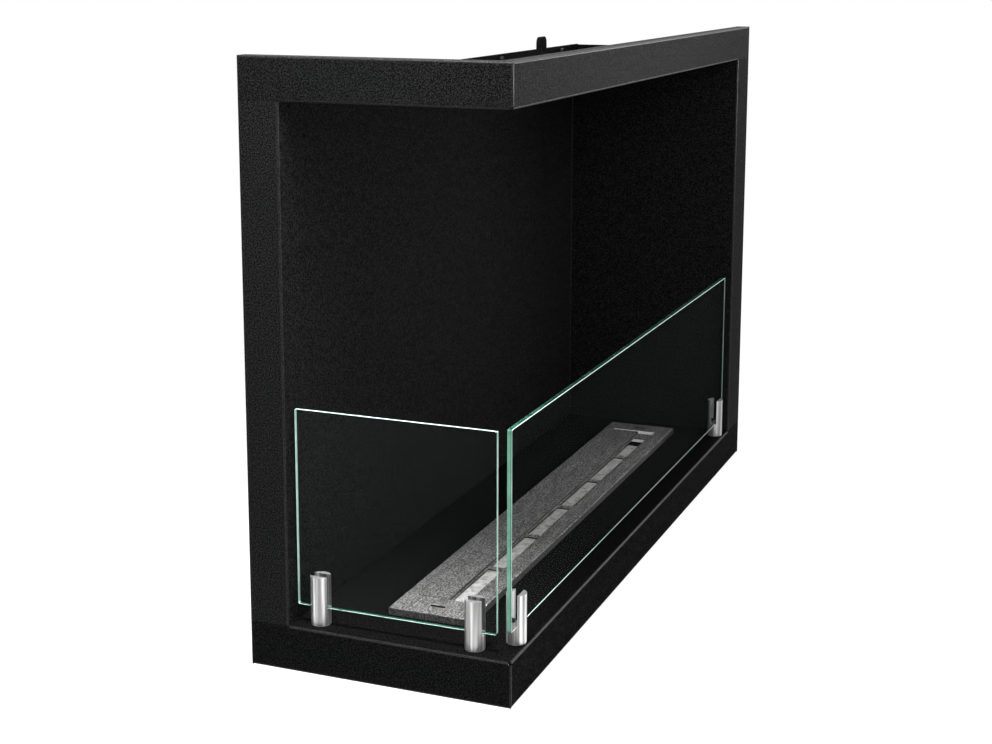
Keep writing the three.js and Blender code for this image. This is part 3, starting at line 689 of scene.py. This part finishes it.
def glass_pane(name, node, body, length, matrix, materials, painted_edge_light):
    """A pane in its own XZ plane, with rounded corners and ground arrises along its polished edges.
    The last argument gives, for its top, bottom, -X and +X edges, the materials of the near arris,
    of the lip beside it, of the rest of the edge and of the far arris, as numbers in materials;
    these pick lit and shaded edge colours, a painted light and shade."""
    bm = bmesh.new()

    def outline(inset, y):
        half = Vector((length / 2 - inset, GLASS_HEIGHT / 2 - inset))
        corner = GLASS_CORNER
        points = []
        for quarter, (sx, sz) in enumerate(((1, 1), (-1, 1), (-1, -1), (1, -1))):
            for step in range(7):
                angle = math.radians(90 * quarter + 15 * step)
                x = sx * (half.x - corner) + corner * math.cos(angle)
                z = sz * (half.y - corner) + corner * math.sin(angle)
                points.append((x, y, z))
        return points

    half = GLASS_THICKNESS / 2
    arris = [
        (GLASS_ARRIS, -half), (0.22, -half + 0.1), (0.06, -half + 0.28), (0.0, -half + GLASS_ARRIS)
    ]
    rows = [*arris, (0.0, -half + GLASS_LIP), *((inset, -y) for inset, y in reversed(arris))]
    loft(bm, [outline(*row) for row in rows])
    bm.normal_update()
    for face in bm.faces:
        middle, normal = face.calc_center_median(), face.normal
        if abs(normal.y) > 0.97:
            continue
        if abs(normal.x) > abs(normal.z):
            look = painted_edge_light[3 if middle.x > 0 else 2]
        else:
            look = painted_edge_light[0 if middle.z > 0 else 1]
        bounds = (-half + GLASS_ARRIS, -half + GLASS_LIP, half - GLASS_ARRIS)
        strip = sum(middle.y > y for y in bounds)
        face.material_index = look[strip]
    return finish_piece(name, bm, materials, body, (node,), 30, matrix)


# --- Burner, in its own planes with Z from the casing's floor
BURNER = (-19.5, -27.0, 46.0)
COVER_X, COVER_Y, COVER_TOP, RIM_BOTTOM = (-367.5, 367.5), (-44.5, 44.5), 8.0, 0.3
RECESS_X, RECESS_Y, RECESS_FLOOR = (-325.5, 335.5), (-25.8, 31.0), 4.7
SHEET = 1.2
WINDOW_Y = (-20.8, -4.3)
WINDOW_START, WINDOW_END, WINDOW_PITCH, STRAP = -323.5, 311.5, 109.65, 9.0
WINDOW_STARTS = [WINDOW_START + i * WINDOW_PITCH for i in range(6)]
WINDOWS = [(start, min(start + WINDOW_PITCH - STRAP, WINDOW_END)) for start in WINDOW_STARTS]
LIFTING_SLOTS = [(a - 2.0, a + 2.0) for a in (-346.5, 351.5)]
LIFTING_Y = (-8.0, 8.0)
TANK_X, TANK_Y, TANK_Z = (-358.5, 358.5), (-35.5, 35.5), (-38.0, 6.5)
TRAY_Z, TRAY_SHEET = (-18.8, 3.2), 0.8
TAB_LENGTH, TAB_PAST, TAB_SHEET = 11.0, 4.0, 0.8
WICK_X = (-315.5, 279.5)


def grown(span, by):
    return span[0] - by, span[1] + by


def within(value, span):
    return span[0] < value < span[1]


def burner_piece(name, bm, materials, replaced, bevel):
    return finish_piece(
        name, bm, materials, "burner", replaced, 40, at(*BURNER), bevel
    )


COVER_BEVEL = 1.1


def burner_cover(materials):
    """The cover, with the rim and the long risers in the second material, a painted shade, the
    recess's ends in the third, a painted highlight, and the walls of the lifting slots in the
    fourth, black as a painted shade."""
    walls = (grown(RECESS_X, SHEET), grown(RECESS_Y, SHEET))

    def filled(x, y, z):
        if any(within(x, s) for s in LIFTING_SLOTS) and within(y, LIFTING_Y):
            return False
        if within(x, RECESS_X) and within(y, RECESS_Y):
            opening = within(y, WINDOW_Y) and any(within(x, w) for w in WINDOWS)
            return z < RECESS_FLOOR and z > RECESS_FLOOR - SHEET and not opening
        if within(x, walls[0]) and within(y, walls[1]):
            return z > RECESS_FLOOR - SHEET
        rim = not (within(x, grown(COVER_X, -SHEET)) and within(y, grown(COVER_Y, -SHEET)))
        return z > (RIM_BOTTOM if rim else COVER_TOP - SHEET)

    xs = [*COVER_X, *grown(COVER_X, -SHEET), *RECESS_X, *walls[0]]
    xs += [x for pair in (*LIFTING_SLOTS, *WINDOWS) for x in pair]
    ys = [*COVER_Y, *grown(COVER_Y, -SHEET), *RECESS_Y, *walls[1], *WINDOW_Y, *LIFTING_Y]
    zs = [RIM_BOTTOM, RECESS_FLOOR - SHEET, RECESS_FLOOR, COVER_TOP - SHEET, COVER_TOP]
    bm = bmesh.new()
    lattice(bm, filled, xs, ys, zs)
    bm.normal_update()
    for face in bm.faces:
        middle = face.calc_center_median()
        if abs(face.normal.z) < 0.5:
            end = any(abs(middle.x - x) < 0.1 for x in RECESS_X)
            slot = any(within(middle.x, grown(s, 0.1)) for s in LIFTING_SLOTS)
            # painted light: the recess's ends a painted highlight, the lifting slots' walls black
            # as painted shade, the rim and risers painted shade
            face.material_index = 2 if end else 3 if slot else 1

    def share(middle):
        end = any(abs(middle.x - x) < 0.1 for x in RECESS_X) and middle.z > COVER_TOP - 0.1
        rim = abs(middle.x) > COVER_X[1] - 0.1 or abs(middle.y) > COVER_Y[1] - 0.1
        if abs(middle.y - RECESS_Y[1]) < 0.1:
            return 0.0
        return 1.0 if end else 0.55 if rim else 0.17

    bevel = (COVER_BEVEL, 3, share)
    plate = burner_piece("cover_plate", bm, materials, ("burner_cover",), bevel)
    # the rounded edges at the recess's ends take the painted highlight too
    for face in plate.data.polygons:
        x = face.center.x / MM - BURNER[0]
        in_bevel = any(abs(x - end) < COVER_BEVEL + 0.05 for end in RECESS_X)
        if in_bevel and 0.1 < face.normal.z < 0.98:
            face.material_index = 2


def burner_tank(material):
    inner = (grown(TANK_X, -SHEET), grown(TANK_Y, -SHEET))

    def filled(x, y, z):
        return not (within(x, inner[0]) and within(y, inner[1]) and z > TANK_Z[0] + SHEET)

    bm = bmesh.new()
    lattice(bm, filled, [*TANK_X, *inner[0]], [*TANK_Y, *inner[1]], [*TANK_Z, TANK_Z[0] + SHEET])
    burner_piece("tank_shell", bm, [material], ("burner_tank",), (0.5, 3, evenly))


def wick_tray_and_fibre(steel, fibre):
    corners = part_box("wick_tray")
    outer_x = tuple(corner.x / MM - BURNER[0] for corner in corners)
    outer_y = tuple(corner.y / MM - BURNER[1] for corner in corners)
    inner = (grown(outer_x, -TRAY_SHEET), grown(outer_y, -TRAY_SHEET))
    tray_floor = TRAY_Z[0] + TRAY_SHEET

    def filled(x, y, z):
        return not (within(x, inner[0]) and within(y, inner[1]) and z > tray_floor)

    bm = bmesh.new()
    lattice(bm, filled, [*outer_x, *inner[0]], [*outer_y, *inner[1]], [*TRAY_Z, tray_floor])
    # the tray takes the dark steel, a painted shade
    burner_piece("tray_shell", bm, [steel], ("wick_tray",), (0.2, 2, evenly))

    low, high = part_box("fibre_wick")
    base_y = (low.y / MM - BURNER[1], high.y / MM - BURNER[1])
    base = (low.z / MM - BURNER[2], TRAY_Z[1] - 1.0)
    top = RECESS_FLOOR - 0.3
    blocks = [(max(a + 0.5, WICK_X[0]), min(b - 0.5, WICK_X[1])) for a, b in WINDOWS]
    block_y = grown(WINDOW_Y, -0.5)

    def filled_fibre(x, y, z):
        if z < base[1]:
            return True
        return within(y, block_y) and any(within(x, b) for b in blocks)

    def fine(span, step):
        count = max(1, round((span[1] - span[0]) / step))
        return [span[0] + (span[1] - span[0]) * i / count for i in range(count + 1)]

    ends = [x for block in blocks for x in block]
    cuts = sorted(fine(WICK_X, 2.2) + ends)

    def kept(i, x):
        return i == 0 or x - cuts[i - 1] > 0.4 or any(abs(x - end) < 1e-6 for end in ends)

    xs = [x for i, x in enumerate(cuts) if kept(i, x)]
    ys = [*base_y, *fine(block_y, 1.6)]
    zs = [*base, top]
    bm = bmesh.new()
    lattice(bm, filled_fibre, xs, ys, zs)
    for vert in bm.verts:
        x, y, z = vert.co
        if z > top - 0.01:
            edge = min(y - block_y[0], block_y[1] - y, *(abs(x - end) for end in ends))
            sink = 0.25 + 0.9 * max(0.0, 1 - edge / 2.2)
            tufts = noise.noise(Vector((x, y, 3.0)) * 0.35) * 0.35
            waves = noise.noise(Vector((x, y, 7.0)) * 0.09) * 0.3
            vert.co.z = min(top, z - sink + (tufts + waves))
    finish_piece("fibre_wool", bm, [fibre], "burner", ("fibre_wick",), 180, at(*BURNER))


def filler_tab(material):
    """A tab below the far end of the last window, which guides the spout of the filling can. Its
    near-white steel is a painted highlight.
    """
    bm = bmesh.new()
    underside = RECESS_FLOOR - SHEET
    xs = (WINDOW_END - TAB_LENGTH, WINDOW_END + TAB_PAST)
    lattice(bm, lambda *middle: True, xs, grown(WINDOW_Y, 2.0), (underside - TAB_SHEET, underside))
    burner_piece("filler_tab", bm, [material], (), (0.3, 2, evenly))


def burner_shutter(materials):
    """A strip with its two long edges turned down, its top nearly level with the cover's."""
    low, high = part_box("burner_shutter")
    xs = (low.x / MM + 0.8, high.x / MM - 1.0)
    ys = (low.y / MM, high.y / MM + 0.2)
    zs = (low.z / MM, high.z / MM + 0.5)
    inner = grown(ys, -SHEET)

    def filled(x, y, z):
        return not (within(y, inner) and z < zs[1] - SHEET)

    bm = bmesh.new()
    lattice(bm, filled, xs, [*ys, *inner], [*zs, zs[1] - SHEET])
    bm.normal_update()
    # the turned-down edges take the dark steel, a painted shade
    for face in bm.faces:
        face.material_index = 1 if abs(face.normal.z) < 0.5 else 0

    def share(middle):
        return 0.1 if middle.y > ys[1] - 0.1 else 1.0

    stands_for, bevel = ("burner_shutter",), (0.25, 2, share)
    finish_piece(
        "shutter_plate", bm, materials, "shutter", stands_for, 40, None, bevel
    )


# --- Stage, world and lamps
HALF_FLOOR = 14
FLOOR_GREY, FLOOR_GREY_SEEN, FLOOR_GLOW, FLOOR_IN_GLOSS = 0.62, 0.42, 0.74, 0.3
WORLD_LIGHT, WORLD_WHITE = 0.62, 1.0


def add_stage():
    """A floor that is plain grey for the light on things, and glows where it is seen, so that it
    looks white and keeps the object's shadow."""
    bm = bmesh.new()
    bmesh.ops.create_grid(bm, x_segments=8, y_segments=8, size=HALF_FLOOR)
    mesh = bpy.data.meshes.new("studio_floor")
    bm.to_mesh(mesh)
    bm.free()
    floor = bpy.data.objects.new("studio_floor", mesh)
    bpy.context.scene.collection.objects.link(floor)
    material = bpy.data.materials.new("studio_floor")
    material.use_nodes = True
    tree = material.node_tree
    tree.nodes.clear()
    output = tree.nodes.new("ShaderNodeOutputMaterial")
    plain = tree.nodes.new("ShaderNodeBsdfDiffuse")
    plain.inputs["Color"].default_value = (FLOOR_GREY, FLOOR_GREY, FLOOR_GREY, 1)
    seen = tree.nodes.new("ShaderNodeBsdfDiffuse")
    seen.inputs["Color"].default_value = (FLOOR_GREY_SEEN, FLOOR_GREY_SEEN, FLOOR_GREY_SEEN, 1)
    glow = tree.nodes.new("ShaderNodeEmission")
    glow.inputs["Strength"].default_value = FLOOR_GLOW
    both = tree.nodes.new("ShaderNodeAddShader")
    tree.links.new(seen.outputs[0], both.inputs[0])
    tree.links.new(glow.outputs[0], both.inputs[1])
    mix = tree.nodes.new("ShaderNodeMixShader")
    tree.links.new(seen_directly(tree, FLOOR_IN_GLOSS), mix.inputs[0])
    tree.links.new(plain.outputs[0], mix.inputs[1])
    tree.links.new(both.outputs[0], mix.inputs[2])
    tree.links.new(mix.outputs[0], output.inputs["Surface"])
    mesh.materials.append(material)


def seen_directly(tree, in_gloss=1.0):
    """1 for camera and transmission rays, in_gloss for glossy ones, and 0 for the light that falls
    on things."""
    path = tree.nodes.new("ShaderNodeLightPath")
    weighted = tree.nodes.new("ShaderNodeMath")
    weighted.operation = "MULTIPLY"
    weighted.inputs[1].default_value = in_gloss
    tree.links.new(path.outputs["Is Glossy Ray"], weighted.inputs[0])
    found = path.outputs["Is Camera Ray"]
    for other in (path.outputs["Is Transmission Ray"], weighted.outputs[0]):
        either = tree.nodes.new("ShaderNodeMath")
        either.operation = "MAXIMUM"
        tree.links.new(found, either.inputs[0])
        tree.links.new(other, either.inputs[1])
        found = either.outputs[0]
    return found


def add_world():
    """An even white surround, weaker for the light on things than where it is seen."""
    world = bpy.data.worlds.new("studio")
    bpy.context.scene.world = world
    world.use_nodes = True
    tree = world.node_tree
    tree.nodes.clear()
    output = tree.nodes.new("ShaderNodeOutputWorld")
    light = tree.nodes.new("ShaderNodeBackground")
    light.inputs["Strength"].default_value = WORLD_LIGHT
    white = tree.nodes.new("ShaderNodeBackground")
    white.inputs["Strength"].default_value = WORLD_WHITE
    for background in (light, white):
        background.inputs["Color"].default_value = (1, 1, 1, 1)
    mix = tree.nodes.new("ShaderNodeMixShader")
    tree.links.new(seen_directly(tree), mix.inputs[0])
    tree.links.new(light.outputs[0], mix.inputs[1])
    tree.links.new(white.outputs[0], mix.inputs[2])
    tree.links.new(mix.outputs[0], output.inputs["Surface"])


def add_lamp(name, place, target, size, power, spread=180):
    data = bpy.data.lights.new(name, "AREA")
    data.shape = "RECTANGLE"
    data.size, data.size_y = size
    data.energy = power
    data.spread = math.radians(spread)
    lamp = bpy.data.objects.new(name, data)
    lamp.location = place
    lamp.visible_camera = False
    lamp.rotation_euler = (Vector(target) - Vector(place)).to_track_quat("-Z", "Y").to_euler()
    bpy.context.scene.collection.objects.link(lamp)


# --- The scene
add_camera()
bpy.context.scene.view_settings.view_transform = "Standard"
add_stage()
add_world()
add_lamp("key", (-1.4, -2.4, 1.9), (-0.1, 0, 0.3), (1.6, 1.2), 30)
add_lamp("fill", (-2.8, 0.9, 1.5), (-0.2, 0, 0.3), (1.4, 1.4), 8)
add_lamp("edge", (1.05, -0.90, 0.57), (-0.45, -0.14, 0.57), (0.6, 0.35), 3.0, 100)
add_lamp("near", (-0.68, -0.02, 1.15), (-0.50, -0.02, 0.05), (0.3, 0.3), 6, 90)

coat = powder_coat("powder_coat", 0.0022, (0.28, 0.46), 1.0)
# painted light and shade: the ceiling panel's coat is darker and glossier, a painted sheen on its
# bars, and the floor panel's darker still and duller, a painted shade; the real casing has one coat
painted_light_upper_coat = powder_coat("powder_coat_painted_light_upper", 0.0054, (0.24, 0.44), 1.4, 0.80, 0.45)
painted_shade_lower_coat = powder_coat("powder_coat_painted_shade_lower", 0.0008, (0.28, 0.46), 1.0, 0.52, 0.45)
fold = powder_coat("powder_coat_fold", 0.12, (0.25, 0.42), 0.3)
# painted shade: a darker copy of the post steel for the slot walls of the side posts
bar_steel, painted_shade_slot_steel = brushed_post("brushed_post", 1.0), brushed_post("brushed_post_slot_painted_shade", 0.45)
# painted highlight: near-white metal on the posts' chamfers and bevelled edges
bar_top, painted_highlight_rim = post_top(), painted_highlight_metal("post_rim_painted_highlight", 0.5)
sheet_steel = burner_steel("burner_steel", 0.42, 0.54, 0.45, 0.5)
# painted shade: a dark copy of the burner steel for the cover's rim and risers, the tray and the
# shutter's edges
painted_shade_steel = burner_steel("burner_steel_painted_shade", 0.09, 0.14, 0.55, 0.5)
# painted highlight: near-white steel for the ends of the recess and the filler tab
painted_highlight_steel = painted_highlight_metal("burner_steel_painted_highlight", 0.0)
wool, plated, blackened = ceramic_fibre(), zinc(), black_bolt()
glass = clear_glass()
# painted light and shade: the green glass edge in four copies from near-white to dark, set on each
# edge by how it faces the light
edge_painted_highlight = glass_edge("glass_edge_painted_highlight", (0.62, 0.86, 0.78), (0.74, 0.94, 0.88), 0.5)
edge_painted_half_light = glass_edge("glass_edge_painted_half_light", (0.26, 0.44, 0.37), (0.40, 0.58, 0.50), 0.4)
edge_painted_half_shade = glass_edge("glass_edge_painted_half_shade", (0.075, 0.20, 0.145), (0.13, 0.29, 0.22), 0.3)
edge_painted_shade = glass_edge("glass_edge_painted_shade", (0.020, 0.080, 0.055), (0.050, 0.145, 0.105), 0.2)
edges = [glass, edge_painted_highlight, edge_painted_half_light, edge_painted_half_shade, edge_painted_shade]

corner_seam = [(LEFT, FRONT), (LEFT + CASING_SHEET + CASING_GAP, FRONT)]
bar_ends = [
    (axis, outside - CASING_SHEET - CASING_GAP, outside - CASING_SHEET)
    for axis, outside in ((0, RIGHT), (1, REAR))
]
jamb_ends = [
    (2, FLOOR_TOP + CASING_GAP, FLOOR_TOP), (2, CEILING_FACE - CASING_GAP, CEILING_FACE)
]
casing_panel("floor_panel", [painted_shade_lower_coat, fold], corner_seam, bar_ends)
casing_panel("ceiling_panel", [painted_light_upper_coat, fold], corner_seam, bar_ends)
casing_panel("back_panel", [coat, fold], (), jamb_ends)
casing_panel("end_panel", [coat, fold], (), jamb_ends)

corner_bead(fold)
# the relief welds take the painted light and shade of their panels' coats
relief_weld("lower_relief_weld", 43.1, 45.6, painted_shade_lower_coat)
relief_weld("upper_relief_weld", 563.0, 565.5, painted_light_upper_coat)
keyhole_collar("left_keyhole_collar", KEYHOLES_X[0], fold)
keyhole_collar("right_keyhole_collar", KEYHOLES_X[1], fold)

BACK_BOLTS_X, END_BOLTS_Y = (-337.5, -114.5, 108.5, 331.5), (-78.5, 36.5)
BOLT_ROWS = (("lower", 37.85, 0, 0), ("upper", 570.75, 7, 11))
HEAD_BEFORE, NUT_BEHIND = 2.1, 1.8  # from the panel's inner face


def bolt_and_nut(side, i, head, nut, turn, spin):
    spun = [Matrix.Rotation(math.radians(angle), 4, "Z") for angle in (spin, 2 * spin)]
    hex_bolt(f"{side}_screw_{i}", f"{side}_bolt_{i}", blackened, at(*head, turn) @ spun[0])
    hex_nut(f"{side}_hexnut_{i}", f"{side}_nut_{i}", plated, at(*nut, turn) @ spun[1])


for row, z, back_spin, end_spin in BOLT_ROWS:
    for i, x in enumerate(BACK_BOLTS_X, 1):
        head, nut = (x, BACK_FACE - HEAD_BEFORE, z), (x, BACK_FACE + NUT_BEHIND, z)
        bolt_and_nut(f"{row}_back", i, head, nut, (-90, 0, 0), 17 * i + back_spin)
    for i, y in enumerate(END_BOLTS_Y, 1):
        head, nut = (END_FACE - HEAD_BEFORE, y, z), (END_FACE + NUT_BEHIND, y, z)
        bolt_and_nut(f"{row}_end", i, head, nut, (0, 90, 0), 23 * i + end_spin)

POSTS = [
    ("front_left", FRONT_POSTS_X[0], FRONT_POSTS_Y, 0),
    ("front_right", FRONT_POSTS_X[1], FRONT_POSTS_Y, 0),
    ("side_front", SIDE_POSTS_X, SIDE_POSTS_Y[0], -90),
    ("side_rear", SIDE_POSTS_X, SIDE_POSTS_Y[1], -90),
]
GRUB_TIP, GRUB_LENGTH, GRUB_AXIS = 1.35, 7.45, 21.5
for name, x, y, turn in POSTS:
    station = at(x, y, FLOOR_TOP, (0, 0, turn))
    # the side posts' slot walls take the painted shade
    bar = post(name, station, [bar_steel, bar_top, painted_highlight_rim, painted_shade_slot_steel if turn else bar_steel])
    drill(bar, station, 5.6, 3.0, 12.0, GRUB_AXIS)
    below = station @ at(0, 0, -3.0)
    grub_screw(f"{name}_setscrew", f"{name}_grub_screw", blackened,
               station @ at(0, GRUB_TIP, GRUB_AXIS, (-90, 0, 0)), GRUB_LENGTH)
    washer(f"{name}_disc", f"{name}_washer", plated, below)
    post_screw(f"{name}_buttonscrew", f"{name}_post_screw", plated, station @ at(0, 0, -3.3))

# which edge colour each edge of a pane takes: a painted light and shade
front_painted_edge_light = [(1, 4, 4, 2), (1, 1, 0, 0), (2, 4, 3, 3), (2, 2, 0, 0)]
side_painted_edge_light = [(1, 1, 0, 0), (0, 1, 4, 0), (0, 1, 2, 0), (0, 2, 2, 0)]
glass_z = FLOOR_TOP + SLOT_FLOOR + GLASS_REST + GLASS_HEIGHT / 2
off_axis = (SLOT - GLASS_THICKNESS) / 2 - GLASS_REST
front_place = at(sum(FRONT_POSTS_X) / 2, FRONT_POSTS_Y - off_axis, glass_z)
side_place = at(SIDE_POSTS_X - off_axis, sum(SIDE_POSTS_Y) / 2, glass_z, (0, 0, -90))
for side, posts, place, painted_edge_light in (
    ("front", FRONT_POSTS_X, front_place, front_painted_edge_light),
    ("side", SIDE_POSTS_Y, side_place, side_painted_edge_light),
):
    length = posts[1] - posts[0] + 2 * GLASS_PAST
    glass_pane(f"{side}_pane_glass", f"{side}_glass", f"{side}_pane", length, place, edges, painted_edge_light)

burner_cover([sheet_steel, painted_shade_steel, painted_highlight_steel, blackened])
burner_tank(sheet_steel)
filler_tab(painted_highlight_steel)
wick_tray_and_fibre(painted_shade_steel, wool)
burner_shutter([sheet_steel, painted_shade_steel])
